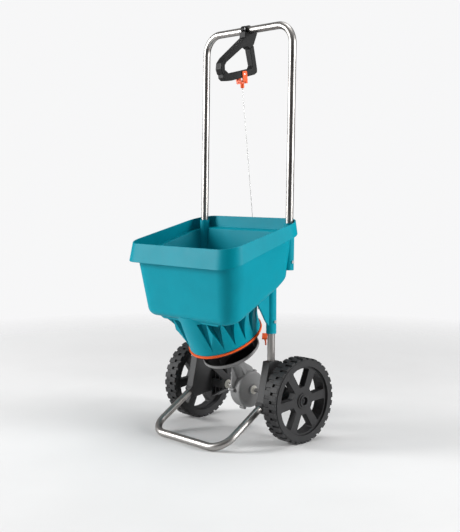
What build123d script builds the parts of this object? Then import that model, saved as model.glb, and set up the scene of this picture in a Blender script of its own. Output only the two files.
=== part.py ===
"""Push garden spreader: a hopper on a bent tube frame with two wheels and a geared spinner.

Millimetres. +Z is up, -Y is the front, X runs along the axle. The origin lies on the ground,
in the middle of the space that the spreader takes up.
"""

from build123d import *
from math import asin, atan2, cos, degrees, hypot, radians, sin, tan
import os

os.makedirs("parts", exist_ok=True)

# ---------------------------------------------------------------- driving dimensions
# frame tubes
TUBE_D = 20.0
TUBE_WALL = 1.5
TUBE_FIT = 0.2  # gap round a tube in what holds it
HANDLE_HALF = 167.3  # tube centre from the middle
HANDLE_TOP = 1106.0  # centre line of the crossbar
HANDLE_BEND = 53.0
HANDLE_LEAN = 0.02  # rearward lean for each mm of height
HANDLE_FOOT = 468.0
HANDLE_AT_TOP = 5.4  # crossbar behind the axle
STAND_HALF = 141.0
STAND_TOP = 408.0
STAND_Y = -45.6  # upright part, from the axle
STAND_KNEE = 122.0
STAND_REACH = 227.0  # foot bar ahead of the axle
STAND_BEND = 50.0

# wheels and axle
WHEEL_R = 114.0
WHEEL_W = 46.0
WHEEL_OUT = 221.5  # outer face from the middle
RIM_R = 107.0
TREAD_LUGS = 32
SPOKES = 6
AXLE_D = 12.0
AXLE_HALF = 212.0
RUN_FIT = 0.05  # radial running clearance
HUB_R = 21.0
HUB_IN = 158.5  # inner end of a hub
PIN_D = 5.0

# drive
DRIVE_TILT = 27.2
CROWN_TEETH = 36
PINION_TEETH = 12
MODULE = 1.8
TOOTH_LEN = 9.0
SHAFT_D = 10.0
BUSH_WALL = 4.0
BOX_R = 51.0
BOX_WALL = 3.5
BOX_LEFT = -16.0
BOX_SPLIT = -4.0
BOX_RIGHT = 26.0
NECK_R = 17.0
NECK_TOP = 112.0
DISC_D = 119.0  # underside of the spinner disc, along the drive axis
DISC_R = 81.0
DISC_LIP = 13.0
VANES = 4
VANE_H = 26.0
PLATE_D = 168.0  # underside of the base plate
PLATE_T = 6.0
RING_T = 5.4
RING_R = 105.5
STACK_GAP = 0.3
COLLAR_R = 102.0
SHAFT_TOP = 240.0

# hopper
WALL = 3.0
FRONT_REACH = 269.0  # lower edge of the skirt ahead of the axle
SKIRT_FLARE = 8.5  # the skirt spreads this much from the rim down
RIM_LEN = 287.0
RIM_TILT = 14.2
RIM_FRONT_Z = 524.5
RIM_HALF_F = 207.4
RIM_HALF_R = 201.0
STEP_FRONT_Z = 474.5
STEP_TILT = 16.9
BODY_FRONT = 249.0  # body under the skirt, ahead of the axle
BODY_LEN = 262.0
BODY_HALF_F = 201.0
BODY_HALF_R = 192.0
BELLY_D = 283.0
BELLY_FRONT = -109.0
BELLY_REAR = 143.0
BELLY_HALF_F = 176.0
BELLY_HALF_R = 165.0
BELLY_ROUND = 22.0
SLEEVE_WALL = 3.4
FLUTES = 20
OUTLET = (34.0, 14.0)
OUTLET_PITCH = 44.0
OUTLET_V = -48.0

# squeeze grip and its pull on the shutter
PULL = 20.0  # degrees
ARM_HALF = 12.0
LOOP_HALF = 10.5
STRAP_HALF = 4.5
STRAP_R = 13.4
HANGER_Y = -20.0  # where the hanger turns in the lower bar, from the axle
HANGER_Z = 985.0
WIRE_D = 1.5
GUIDE_Y = 24.5  # mouth of the wire guide behind the rim
GUIDE_Z = 589.0
GUIDE_LEN = 32.0
WIRE_GAP = 3.0
LOWER_WIRE = 255.0
CRANK_ARM = 34.0
SHUTTER_ARM = 15.0

# ---------------------------------------------------------------- places
TUBE_R = TUBE_D / 2
AXLE_R = AXLE_D / 2
SHAFT_R = SHAFT_D / 2
AXLE_Y = (FRONT_REACH - WHEEL_R) / 2
AXLE_Z = WHEEL_R
SIDES = (-1, 1)
tilt = radians(DRIVE_TILT)
drive = Plane(origin=(0, AXLE_Y, AXLE_Z), x_dir=(1, 0, 0), z_dir=(0, -sin(tilt), cos(tilt)))
hang_y = AXLE_Y + HANDLE_AT_TOP - HANDLE_LEAN * HANDLE_TOP
handle_plane = Plane(origin=(0, hang_y, 0), x_dir=(1, 0, 0), z_dir=(0, -1, HANDLE_LEAN))
lean_scale = hypot(1, HANDLE_LEAN)
crossbar_y = AXLE_Y + HANDLE_AT_TOP


def side(x=0.0):
    """Plane across the axle at x: its own X is the spreader's Y, its own Y is up."""
    return Plane(origin=(x, 0, 0), x_dir=(0, 1, 0), z_dir=(1, 0, 0))


def side_at_axle(x=0.0):
    """The same plane with its origin on the axle."""
    return Plane(origin=(x, AXLE_Y, AXLE_Z), x_dir=(0, 1, 0), z_dir=(1, 0, 0))


def behind_axle(points):
    """Side-view points given as (distance behind the axle, height)."""
    return [(AXLE_Y + y, z) for y, z in points]


def trapezoid_points(half_front, half_rear, front, rear):
    return [(-half_front, front), (half_front, front), (half_rear, rear), (-half_rear, rear)]


def round_outline(plane, half_front, half_rear, front, rear, r_front, r_rear):
    """Closed sketch of a tapering outline with two front and two rear corner radii."""
    with BuildSketch(plane) as outline:
        Polygon(*trapezoid_points(half_front, half_rear, front, rear), align=None)
        by_y = outline.vertices().sort_by(lambda v: plane.to_local_coords(v.center()).Y)
        fillet(by_y[:2], radius=r_front)
        by_y = outline.vertices().sort_by(lambda v: plane.to_local_coords(v.center()).Y)
        fillet(by_y[-2:], radius=r_rear)
    return outline.sketch


# ---------------------------------------------------------------- frame tubes
def handle_path():
    with BuildLine(handle_plane) as path:
        FilletPolyline(
            (-HANDLE_HALF, HANDLE_FOOT),
            (-HANDLE_HALF, HANDLE_TOP * lean_scale),
            (HANDLE_HALF, HANDLE_TOP * lean_scale),
            (HANDLE_HALF, HANDLE_FOOT),
            radius=HANDLE_BEND,
        )
    return path.wires()[0]


def stand_path():
    """One bent tube: two uprights, two legs that slope forward, and the foot bar."""
    upright_y = AXLE_Y + STAND_Y
    foot_y = AXLE_Y - STAND_REACH
    with BuildLine() as path:
        FilletPolyline(
            (-STAND_HALF, upright_y, STAND_TOP),
            (-STAND_HALF, upright_y, STAND_KNEE),
            (-STAND_HALF, foot_y, TUBE_R),
            (STAND_HALF, foot_y, TUBE_R),
            (STAND_HALF, upright_y, STAND_KNEE),
            (STAND_HALF, upright_y, STAND_TOP),
            radius=STAND_BEND,
        )
    return path.wires()[0]


def tube_along(path, radius, bore=0.0):
    with BuildPart() as tube:
        with BuildSketch(Plane(origin=path @ 0, z_dir=path % 0)):
            Circle(radius)
            if bore:
                Circle(bore, mode=Mode.SUBTRACT)
        sweep(path=path)
    return tube.part


SCREW_R = 2.0
HANDLE_SCREW_Z = 481.0
STAND_SCREW_Z = 323.0
handle_screw_y = hang_y + HANDLE_LEAN * HANDLE_SCREW_Z
stand_screw_y = AXLE_Y + STAND_Y


def cross_screw_hole(y, z, reach, radius):
    """Hole right across a tube pair, to cut from what the screws pass through."""
    with BuildPart() as hole:
        with BuildSketch(side(-reach)):
            with Locations((y, z)):
                Circle(radius)
        extrude(amount=2 * reach)
    return hole.part


with BuildPart() as handle_tube:
    add(tube_along(handle_path(), TUBE_R, TUBE_R - TUBE_WALL))
    add(cross_screw_hole(handle_screw_y, HANDLE_SCREW_Z, 2 * HANDLE_HALF, SCREW_R + 0.1), mode=Mode.SUBTRACT)

with BuildPart() as stand_tube:
    add(tube_along(stand_path(), TUBE_R, TUBE_R - TUBE_WALL))
    add(cross_screw_hole(stand_screw_y, STAND_SCREW_Z, 2 * STAND_HALF, SCREW_R + 0.1), mode=Mode.SUBTRACT)

# ---------------------------------------------------------------- leg brackets
BRACKET_HALF = 13.0
BRACKET_TOP = 217.0
ARM_TIP = 75.0  # inner end of the ribbed arm, from the middle
ARM_DEPTH = 15.0
ARM_TALL = 42.0
ARM_TIP_TALL = 14.0
ARM_BOSS_R = 13.0
RIB = 4.0
CLAMP_Y = -19.5
CLAMP_Z = 201.0
CLAMP_BOLT_R = 3.0
POCKET = 11.0
bush_r = AXLE_R + BUSH_WALL


def arm_height(x):
    """Half height of the ribbed arm at a distance x from the middle."""
    share = (x - ARM_TIP) / (STAND_HALF - BRACKET_HALF - ARM_TIP)
    return ARM_TIP_TALL + share * (ARM_TALL - ARM_TIP_TALL)


def arm_bay(x0, x1, inset):
    """Side of a bay between two ribs, above the boss."""
    low = ARM_BOSS_R - 1
    return [(x0, low), (x1, low), (x1, arm_height(x1) - inset), (x0, arm_height(x0) - inset)]


def leg_bracket(sign):
    front_wall = [(-64, BRACKET_TOP), (-28, BRACKET_TOP), (-25, 166), (6, 137), (24, AXLE_Z)]
    low_wall = [(6, 91), (-30, 86), (-82, 79), (-95, 104), (-88, 112)]
    with BuildPart() as bracket:
        with BuildSketch(side(sign * STAND_HALF)):
            Polygon(*behind_axle(front_wall + low_wall), align=None)
            with Locations((AXLE_Y, AXLE_Z)):
                Circle(24)
        extrude(amount=BRACKET_HALF, both=True)
        with BuildSketch(side(sign * STAND_HALF)):
            with Locations((AXLE_Y + CLAMP_Y - 5, CLAMP_Z)):
                Rectangle(26, 22)
        extrude(amount=9, both=True)
        fillet(bracket.edges().filter_by(Axis.X), radius=1.5)
        chamfer(bracket.faces().sort_by(Axis.X)[-1].edges(), length=1.2)
        chamfer(bracket.faces().sort_by(Axis.X)[0].edges(), length=1.2)
        # tapered arm along the axle, with open bays between its ribs
        inner = STAND_HALF - BRACKET_HALF
        with BuildSketch(Plane.XZ.offset(-AXLE_Y)):
            with Locations((0, AXLE_Z)):
                arm = [(ARM_TIP, ARM_TIP_TALL), (inner, ARM_TALL), (inner, -ARM_TALL), (ARM_TIP, -ARM_TIP_TALL)]
                Polygon(*[(sign * x, z) for x, z in arm], align=None)
        extrude(amount=ARM_DEPTH, both=True)
        stops = [inner, inner - 17, inner - 33, ARM_TIP + 4]
        for face in SIDES:
            with BuildSketch(Plane.XZ.offset(-AXLE_Y - face * ARM_DEPTH)):
                for x1, x0 in zip(stops, stops[1:]):
                    for up in SIDES:
                        bay = arm_bay(x0 + RIB / 2, x1 - RIB / 2, RIB)
                        with Locations((0, AXLE_Z)):
                            Polygon(*[(sign * x, up * z) for x, z in bay], align=None)
            extrude(amount=face * POCKET, mode=Mode.SUBTRACT)
        with BuildSketch(side_at_axle(sign * ARM_TIP)):
            Circle(ARM_BOSS_R)
        extrude(amount=sign * (inner - ARM_TIP))
        # tube channel, axle bore, clamp slit and bolt hole
        add(tube_along(stand_path(), TUBE_R + TUBE_FIT), mode=Mode.SUBTRACT)
        with BuildSketch(side_at_axle(sign * (ARM_TIP - 1))):
            Circle(AXLE_R + 0.6)
        extrude(amount=sign * 90, mode=Mode.SUBTRACT)
        for start, length in ((ARM_TIP, 16), (STAND_HALF + BRACKET_HALF, -18)):
            with BuildSketch(side_at_axle(sign * start)):
                Circle(bush_r)
            extrude(amount=sign * length, mode=Mode.SUBTRACT)
        with BuildSketch(side(sign * STAND_HALF)):
            with Locations((AXLE_Y + CLAMP_Y, CLAMP_Z)):
                Circle(CLAMP_BOLT_R + 0.15)
        extrude(amount=20, both=True, mode=Mode.SUBTRACT)
        with Locations((sign * STAND_HALF, AXLE_Y + CLAMP_Y - 4, CLAMP_Z + 6)):
            Box(2.0, 40, 34, mode=Mode.SUBTRACT)
    return bracket.part


leg_bracket_left = leg_bracket(-1)
leg_bracket_right = leg_bracket(1)


def hex_bolt(x, y, z, sign, length, radius, head_r, head_t):
    """Hexagon-head bolt along X; the head is on the outer side."""
    with BuildPart() as bolt:
        with BuildSketch(side(x)):
            with Locations((y, z)):
                RegularPolygon(head_r, 6)
        extrude(amount=sign * head_t)
        with BuildSketch(side(x)):
            with Locations((y, z)):
                Circle(radius)
        extrude(amount=-sign * length)
    return bolt.part


def hex_nut(x, y, z, sign, radius, across_r, thick):
    with BuildPart() as nut:
        with BuildSketch(side(x)):
            with Locations((y, z)):
                RegularPolygon(across_r, 6)
                Circle(radius, mode=Mode.SUBTRACT)
        extrude(amount=-sign * thick)
    return nut.part


with BuildPart() as bracket_screws:
    for s in SIDES:
        add(hex_bolt(s * (STAND_HALF + 9.05), AXLE_Y + CLAMP_Y, CLAMP_Z, s, 27, CLAMP_BOLT_R, 6, 4))

with BuildPart() as bracket_nuts:
    for s in SIDES:
        add(hex_nut(s * (STAND_HALF - 9.05), AXLE_Y + CLAMP_Y, CLAMP_Z, s, CLAMP_BOLT_R + 0.05, 6, 5))

# ---------------------------------------------------------------- axle and bushes
END_SCREW_R = 2.5
with BuildPart() as axle:
    with BuildSketch(side_at_axle(-AXLE_HALF)):
        Circle(AXLE_R)
    extrude(amount=2 * AXLE_HALF)
    chamfer(axle.edges().filter_by(GeomType.CIRCLE), length=0.8)
    for s in SIDES:
        with BuildSketch(side_at_axle(s * AXLE_HALF)):
            Circle(END_SCREW_R + 0.05)
        extrude(amount=-s * 20, mode=Mode.SUBTRACT)
    with BuildSketch(Plane.XY.offset(AXLE_Z)):
        with Locations((HUB_IN + 5, AXLE_Y)):
            Circle(PIN_D / 2 + 0.02)
    extrude(amount=20, both=True, mode=Mode.SUBTRACT)


def bush(plane, bore, outer, length, flange_r=0.0, flange_t=0.0):
    """Plain bush that starts at a plane; its flange stands on the other side of the plane."""
    with BuildPart() as made:
        with BuildSketch(plane):
            Circle(outer)
            Circle(bore, mode=Mode.SUBTRACT)
        extrude(amount=length)
        if flange_r:
            with BuildSketch(plane):
                Circle(flange_r)
                Circle(bore, mode=Mode.SUBTRACT)
            extrude(amount=-flange_t if length > 0 else flange_t)
    return made.part


AXLE_BORE = AXLE_R + RUN_FIT
with BuildPart() as axle_bushes:
    for s in SIDES:
        outer_face = side_at_axle(s * (STAND_HALF + BRACKET_HALF))
        add(bush(outer_face, AXLE_BORE, bush_r - 0.05, -s * 17.5, bush_r + 4, 2.2))
        tip_face = side_at_axle(s * ARM_TIP)
        add(bush(tip_face, AXLE_BORE, bush_r - 0.05, s * 15.5, ARM_BOSS_R - 0.4, 2.0))

with BuildPart() as drive_pin:
    with BuildSketch(Plane.XY.offset(AXLE_Z)):
        with Locations((HUB_IN + 5, AXLE_Y)):
            Circle(PIN_D / 2)
    extrude(amount=HUB_R - 5, both=True)

# ---------------------------------------------------------------- wheels
WEB_T = 20.0
TREAD_ROW = WHEEL_W / 2 - 1.0
LUG_BASE_R = 109.5


def tread_row(x, sign, length, turn):
    """One row of chunky tread blocks, like a coarse gear."""
    pitch = 360 / TREAD_LUGS
    with BuildPart() as row:
        with BuildSketch(side_at_axle(x)):
            Circle(LUG_BASE_R)
            with PolarLocations((WHEEL_R + LUG_BASE_R - 4) / 2, TREAD_LUGS, start_angle=turn * pitch):
                Rectangle(WHEEL_R - LUG_BASE_R + 4, 14.0)
            Circle(WHEEL_R, mode=Mode.INTERSECT)
            Circle(RIM_R - 12, mode=Mode.SUBTRACT)
        extrude(amount=sign * length)
    return row.part


def wheel(sign):
    outer = sign * WHEEL_OUT
    inner = sign * (WHEEL_OUT - WHEEL_W)
    middle = (outer + inner) / 2
    with BuildPart() as made:
        add(tread_row(outer - sign * 2, -sign, TREAD_ROW, 0))
        add(tread_row(inner + sign * 2, sign, TREAD_ROW, 0.5))
        # rim band between and beside the tread rows
        with BuildSketch(side_at_axle(inner)):
            Circle(RIM_R)
            Circle(RIM_R - 15, mode=Mode.SUBTRACT)
        extrude(amount=sign * WHEEL_W)
        # web with its windows
        with BuildSketch(side_at_axle(middle - sign * WEB_T / 2 + sign * 6)):
            Circle(RIM_R - 14)
        extrude(amount=sign * WEB_T)
        with BuildSketch(side_at_axle(inner)) as windows:
            with PolarLocations(0, SPOKES, start_angle=180 / SPOKES + 5):
                window = [(37, -9), (80, -32), (86, -15), (87.5, 0), (86, 15), (80, 32), (37, 9)]
                Polygon(*window, align=None)
            fillet(windows.vertices(), radius=4)
        extrude(amount=sign * WHEEL_W, mode=Mode.SUBTRACT)
        # hub, recessed for its screw
        with BuildSketch(side_at_axle(sign * HUB_IN)):
            Circle(HUB_R)
        extrude(amount=sign * (WHEEL_OUT - HUB_IN - 4))
        with BuildSketch(side_at_axle(sign * (WHEEL_OUT - 10))):
            Circle(15.5)
        extrude(amount=sign * 9)
        with BuildSketch(side_at_axle(sign * (AXLE_HALF + 0.5))):
            Circle(11.5)
        extrude(amount=sign * 20, mode=Mode.SUBTRACT)
        with BuildSketch(side_at_axle(sign * (HUB_IN - 1))):
            Circle(AXLE_BORE)
        extrude(amount=sign * 80, mode=Mode.SUBTRACT)
        if sign > 0:
            # slot for the drive pin
            with Locations((HUB_IN + 3, AXLE_Y, AXLE_Z)):
                Box(10, PIN_D + 0.2, 2 * HUB_R - 8, mode=Mode.SUBTRACT)
    return made.part


wheel_left = wheel(-1)
wheel_right = wheel(1)

WASHER_T = 1.2
with BuildPart() as wheel_washers:
    for s in SIDES:
        add(bush(side_at_axle(s * (AXLE_HALF + 0.8)), END_SCREW_R + 0.2, 10, s * WASHER_T))

with BuildPart() as hub_screws:
    for s in SIDES:
        head = AXLE_HALF + 0.8 + WASHER_T + 0.02
        with BuildSketch(side_at_axle(s * head)):
            Circle(5.5)
        extrude(amount=s * 3.2)
        with BuildSketch(side_at_axle(s * head)):
            Circle(END_SCREW_R)
        extrude(amount=-s * 18)
        with BuildSketch(side_at_axle(s * (head + 3.2))):
            RegularPolygon(2.4, 6)
        extrude(amount=-s * 2, mode=Mode.SUBTRACT)

# ---------------------------------------------------------------- bevel gears
# Both pitch cones meet on the axle, in the middle of the gearbox.
crown_r = MODULE * CROWN_TEETH / 2
pinion_r = MODULE * PINION_TEETH / 2
cone_len = hypot(crown_r, pinion_r)
crown_cone = atan2(crown_r, pinion_r)
pinion_cone = atan2(pinion_r, crown_r)
inner_share = (cone_len - TOOTH_LEN) / cone_len
ADDENDUM = 0.75 * MODULE
DEDENDUM = 1.05 * MODULE
TOOTH_HALF = 0.56 * MODULE


def tooth_section(base, cone, share):
    """Tooth outline on the back cone, scaled towards the point where the pitch cones meet.

    base.z_dir is the gear's axis away from the meeting point and cone its pitch cone angle.
    """
    along = cone_len * share
    centre = base.from_local_coords(Vector(along * sin(cone), 0, along * cos(cone)))
    outward = base.from_local_coords(Vector(cos(cone), 0, -sin(cone))) - base.origin
    sideways = base.from_local_coords(Vector(0, 1, 0)) - base.origin
    flat = Plane(origin=centre, x_dir=outward, z_dir=outward.cross(sideways))
    top = ADDENDUM * share
    low = -(DEDENDUM + 0.6) * share
    half = TOOTH_HALF * share
    slope = tan(radians(22))
    with BuildSketch(flat) as section:
        root_half = half - low * slope
        tip_half = half - top * slope
        Polygon((low, -root_half), (low, root_half), (top, tip_half), (top, -tip_half), align=None)
    return section.sketch


def bevel_gear(base, cone, teeth, turn, back, bore):
    """Straight bevel gear whose pitch cone has its point at base.origin."""
    big_r = cone_len * sin(cone)
    big_h = cone_len * cos(cone)
    root = (big_r - DEDENDUM * cos(cone), big_h + DEDENDUM * sin(cone))
    inner = (root[0] * inner_share * 0.94, root[1] * inner_share * 0.94)
    outer = (root[0] * 1.04, root[1] * 1.04)
    with BuildPart() as tooth:
        loft([tooth_section(base, cone, 1.0), tooth_section(base, cone, inner_share)])
    with BuildPart() as gear:
        with BuildSketch(Plane(origin=base.origin, x_dir=base.x_dir, z_dir=-base.y_dir)):
            with BuildLine():
                Polyline((0, inner[1]), inner, outer, (outer[0], back), (0, back), close=True)
            make_face()
        revolve(axis=Axis(base.origin, base.z_dir))
        spin = Axis(base.origin, base.z_dir)
        add([tooth.part.rotate(spin, (i + turn) * 360 / teeth) for i in range(teeth)])
        with BuildSketch(base):
            Circle(bore)
        extrude(amount=60, mode=Mode.SUBTRACT)
    return gear.part


crown_base = Plane(origin=(0, AXLE_Y, AXLE_Z), x_dir=tuple(drive.z_dir), z_dir=(1, 0, 0))
pinion_base = Plane(origin=(0, AXLE_Y, AXLE_Z), x_dir=(1, 0, 0), z_dir=tuple(drive.z_dir))
crown_gear = bevel_gear(crown_base, crown_cone, CROWN_TEETH, 0, pinion_r + 7, AXLE_R + 0.02)
pinion = bevel_gear(pinion_base, pinion_cone, PINION_TEETH, 0.5, crown_r + 4, SHAFT_R + 0.02)

# ---------------------------------------------------------------- gearbox
LUG_AT = (57, 177, 257, 337)
BOX_SCREW_R = 1.6
LUG_R = 5.0


def round_box(x0, x1, radius, soft):
    """Round box along the axle from x0 to x1, rounded at its x1 end."""
    sign = 1 if x1 > x0 else -1
    with BuildPart() as made:
        with BuildSketch(side_at_axle(x0)):
            Circle(radius)
        extrude(amount=x1 - x0)
        end = made.faces().sort_by(Axis.X)[-1 if sign > 0 else 0]
        fillet(end.edges(), radius=soft)
    return made.part


def lug_spot(a):
    """Centre of a screw lug on the side plane, a degrees up from the rear."""
    reach = BOX_R + 2.5
    return reach * cos(radians(a)), reach * sin(radians(a))


with BuildPart() as gearbox_housing:
    add(round_box(BOX_SPLIT, BOX_RIGHT, BOX_R, 7))
    with BuildSketch(side_at_axle(BOX_SPLIT)):
        with Locations(*[lug_spot(a) for a in LUG_AT]):
            Circle(LUG_R)
    extrude(amount=12)
    with BuildSketch(side_at_axle(BOX_RIGHT - 1)):
        Circle(bush_r + 5)
    extrude(amount=5)
    # upright neck with a flared top and side gussets
    with BuildSketch(drive.offset(10)):
        Circle(NECK_R + 4)
    with BuildSketch(drive.offset(70)):
        Circle(NECK_R)
    loft()
    with BuildSketch(drive.offset(69)):
        Circle(NECK_R)
    extrude(amount=NECK_TOP - 69)
    with BuildSketch(drive.offset(NECK_TOP - 14)):
        Circle(NECK_R)
    with BuildSketch(drive.offset(NECK_TOP - 4)):
        Circle(NECK_R + 12)
    loft()
    with BuildSketch(drive.offset(NECK_TOP - 4)):
        Circle(NECK_R + 12)
    extrude(amount=4)
    for reach, way in ((BOX_RIGHT - 3, 1), (BOX_RIGHT - 3, -1), (BOX_R - 6, 1), (BOX_R - 6, -1)):
        out = drive.x_dir * way if reach < BOX_RIGHT else drive.y_dir * way
        with BuildSketch(Plane(origin=drive.origin, x_dir=out, z_dir=out.cross(drive.z_dir))):
            Polygon((0, 0), (reach, 0), (reach, 42), (NECK_R - 2, 88), (0, 88), align=None)
        extrude(amount=2.5, both=True)
    # the gearbox stays on its own side of the parting face
    with BuildSketch(side_at_axle(BOX_SPLIT)):
        Circle(BOX_R + 0.1)
        with Locations(*[lug_spot(a) for a in LUG_AT]):
            Circle(LUG_R + 0.1)
    extrude(amount=-60, mode=Mode.SUBTRACT)
    add(round_box(BOX_SPLIT, BOX_RIGHT - BOX_WALL, BOX_R - BOX_WALL, 5), mode=Mode.SUBTRACT)
    with BuildSketch(drive.offset(20)):
        Circle(13.5)
    extrude(amount=26, mode=Mode.SUBTRACT)
    with BuildSketch(drive.offset(20)):
        Circle(SHAFT_R + BUSH_WALL)
    extrude(amount=120, mode=Mode.SUBTRACT)
    with BuildSketch(side_at_axle(0)):
        Circle(bush_r)
    extrude(amount=60, mode=Mode.SUBTRACT)
    with BuildSketch(side_at_axle(BOX_SPLIT)):
        with Locations(*[lug_spot(a) for a in LUG_AT]):
            Circle(BOX_SCREW_R + 0.1)
    extrude(amount=10, mode=Mode.SUBTRACT)

with BuildPart() as gearbox_cover:
    add(round_box(BOX_SPLIT, BOX_LEFT, BOX_R, 8))
    with BuildSketch(side_at_axle(BOX_SPLIT)):
        with Locations(*[lug_spot(a) for a in LUG_AT]):
            Circle(LUG_R)
    extrude(amount=-6)
    with BuildSketch(side_at_axle(BOX_LEFT + 1)):
        Circle(bush_r + 5)
    extrude(amount=-5)
    add(round_box(BOX_SPLIT, BOX_LEFT + BOX_WALL, BOX_R - BOX_WALL, 5), mode=Mode.SUBTRACT)
    with BuildSketch(side_at_axle(0)):
        Circle(bush_r)
    extrude(amount=-60, mode=Mode.SUBTRACT)
    with BuildSketch(side_at_axle(BOX_SPLIT)):
        with Locations(*[lug_spot(a) for a in LUG_AT]):
            Circle(BOX_SCREW_R + 0.1)
    extrude(amount=-12, mode=Mode.SUBTRACT)
    with BuildSketch(side_at_axle(BOX_SPLIT - 6)):
        with Locations(*[lug_spot(a) for a in LUG_AT]):
            Circle(3.7)
    extrude(amount=-12, mode=Mode.SUBTRACT)
    # notch that clears the upright shaft and its bush
    with BuildSketch(drive.offset(20)):
        Circle(SHAFT_R + BUSH_WALL)
    extrude(amount=BOX_R, mode=Mode.SUBTRACT)

with BuildPart() as gearbox_bushes:
    add(bush(side_at_axle(BOX_RIGHT + 4), AXLE_BORE, bush_r - 0.05, -8, bush_r + 2, 1.5))
    add(bush(side_at_axle(BOX_LEFT - 4), AXLE_BORE, bush_r - 0.05, 8, bush_r + 2, 1.5))

with BuildPart() as gearbox_screws:
    with BuildSketch(side_at_axle(BOX_SPLIT - 6.05)):
        with Locations(*[lug_spot(a) for a in LUG_AT]):
            Circle(3.4)
    extrude(amount=-2.4)
    with BuildSketch(side_at_axle(BOX_SPLIT - 6.05)):
        with Locations(*[lug_spot(a) for a in LUG_AT]):
            Circle(BOX_SCREW_R)
    extrude(amount=14)

# ---------------------------------------------------------------- upright shaft and spinner
SHAFT_BORE = SHAFT_R + RUN_FIT
SHAFT_FOOT = crown_r - 12
neck_bush_r = SHAFT_R + BUSH_WALL - 0.05
DISC_T = 3.0
DISC_WALL = 2.5
FLOOR_D = PLATE_D + PLATE_T + RING_T + 2 * STACK_GAP + 3.0
FLOOR_T = 3.0

with BuildPart() as impeller_shaft:
    with BuildSketch(drive.offset(SHAFT_FOOT)):
        Circle(SHAFT_R)
    extrude(amount=SHAFT_TOP - SHAFT_FOOT)
    chamfer(impeller_shaft.edges().filter_by(GeomType.CIRCLE), length=0.6)

with BuildPart() as shaft_bushes:
    add(bush(drive.offset(48), SHAFT_BORE, neck_bush_r, 14))
    add(bush(drive.offset(NECK_TOP), SHAFT_BORE, neck_bush_r, -14, NECK_R - 3, 2.0))
    add(bush(drive.offset(FLOOR_D), SHAFT_BORE, neck_bush_r, FLOOR_T + 1.5, SHAFT_R + 7, 1.2))

with BuildPart() as impeller_disc:
    with BuildSketch(Plane(origin=drive.origin, x_dir=drive.x_dir, z_dir=-drive.y_dir)):
        with BuildLine():
            Polyline(
                (SHAFT_R + 0.03, DISC_D),
                (DISC_R - 7, DISC_D),
                (DISC_R, DISC_D + 6),
                (DISC_R, DISC_D + DISC_LIP),
                (DISC_R - DISC_WALL, DISC_D + DISC_LIP),
                (DISC_R - DISC_WALL, DISC_D + 7),
                (DISC_R - 8, DISC_D + DISC_T),
                (SHAFT_R + 0.03, DISC_D + DISC_T),
                close=True,
            )
        make_face()
    revolve(axis=Axis(drive.origin, drive.z_dir))

with BuildPart() as impeller_vanes:
    floor_d = DISC_D + DISC_T + 0.05
    with BuildSketch(drive.offset(floor_d)):
        Circle(DISC_R - 9)
    extrude(amount=1.5)
    with BuildSketch(drive.offset(floor_d)):
        Circle(15)
    extrude(amount=VANE_H)
    with BuildSketch(drive.offset(floor_d)):
        with PolarLocations(0, VANES, start_angle=20):
            with Locations((42, 3)):
                Rectangle(62, 2.6)
    extrude(amount=VANE_H)
    with BuildSketch(drive.offset(floor_d)):
        Circle(SHAFT_R + 0.02)
    extrude(amount=VANE_H, mode=Mode.SUBTRACT)

with BuildPart() as agitator:
    start_d = FLOOR_D + FLOOR_T + 6
    with BuildSketch(drive.offset(start_d)):
        Circle(11)
    extrude(amount=26)
    for turn, height in ((0, 8), (180, 17)):
        arm = Plane(origin=drive.origin, x_dir=drive.x_dir, z_dir=drive.z_dir).offset(start_d)
        with BuildSketch(arm.offset(height - 3)):
            with PolarLocations(0, 1, start_angle=turn):
                with Locations((34, 0)):
                    Rectangle(56, 6)
        extrude(amount=6)
        with BuildSketch(arm.offset(height - 3)):
            with PolarLocations(0, 1, start_angle=turn):
                with Locations((60, 0)):
                    Rectangle(6, 12)
        extrude(amount=18)
    with BuildSketch(drive.offset(start_d)):
        Circle(SHAFT_R + 0.02)
    extrude(amount=40, mode=Mode.SUBTRACT)

# ---------------------------------------------------------------- base plate, ring and shutter
PLATE_R = COLLAR_R - 2
PLATE_SCREW_GRID = (152.0, 72.0)
SPIGOT_R = 91.0
RING_BORE = SPIGOT_R + 0.3
SHUTTER_T = 2.0
SHUTTER_D = FLOOR_D - SHUTTER_T - 0.35
SHUTTER_HALF = 64.0
TONGUE_HALF = 12.0
travel_slots = [(x, OUTLET_V) for x in (-OUTLET_PITCH, 0, OUTLET_PITCH)]

wire_lean = atan2(GUIDE_Y - HANGER_Y, HANGER_Z - GUIDE_Z)
pivot_to_hanger = (HANGER_Y - HANDLE_AT_TOP, HANGER_Z - HANDLE_TOP)
pull_rad = radians(PULL)
pulled_y = HANDLE_AT_TOP + pivot_to_hanger[0] * cos(pull_rad) + pivot_to_hanger[1] * sin(pull_rad)
pulled_z = HANDLE_TOP - pivot_to_hanger[0] * sin(pull_rad) + pivot_to_hanger[1] * cos(pull_rad)
wire_rest = hypot(HANGER_Y - GUIDE_Y, HANGER_Z - GUIDE_Z)
WIRE_TRAVEL = hypot(pulled_y - GUIDE_Y, pulled_z - GUIDE_Z) - wire_rest
up_y = (HANGER_Y - GUIDE_Y) / wire_rest
up_z = (HANGER_Z - GUIDE_Z) / wire_rest
half_swing = asin(WIRE_TRAVEL / 2 / CRANK_ARM)
SHUTTER_TRAVEL = 2 * SHUTTER_ARM * sin(half_swing)
FINGER_T = 4.0
nipple_y = GUIDE_Y - up_y * LOWER_WIRE
nipple_z = GUIDE_Z - up_z * LOWER_WIRE
reach_in = CRANK_ARM * cos(half_swing)
crank_y = nipple_y + up_y * WIRE_TRAVEL / 2 - up_z * reach_in
crank_z = nipple_z + up_z * WIRE_TRAVEL / 2 + up_y * reach_in
crank_local = drive.to_local_coords(Vector(0, AXLE_Y + crank_y, crank_z))
crank_v = crank_local.Y
crank_d = crank_local.Z
TONGUE_END = crank_v + 4.0

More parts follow.
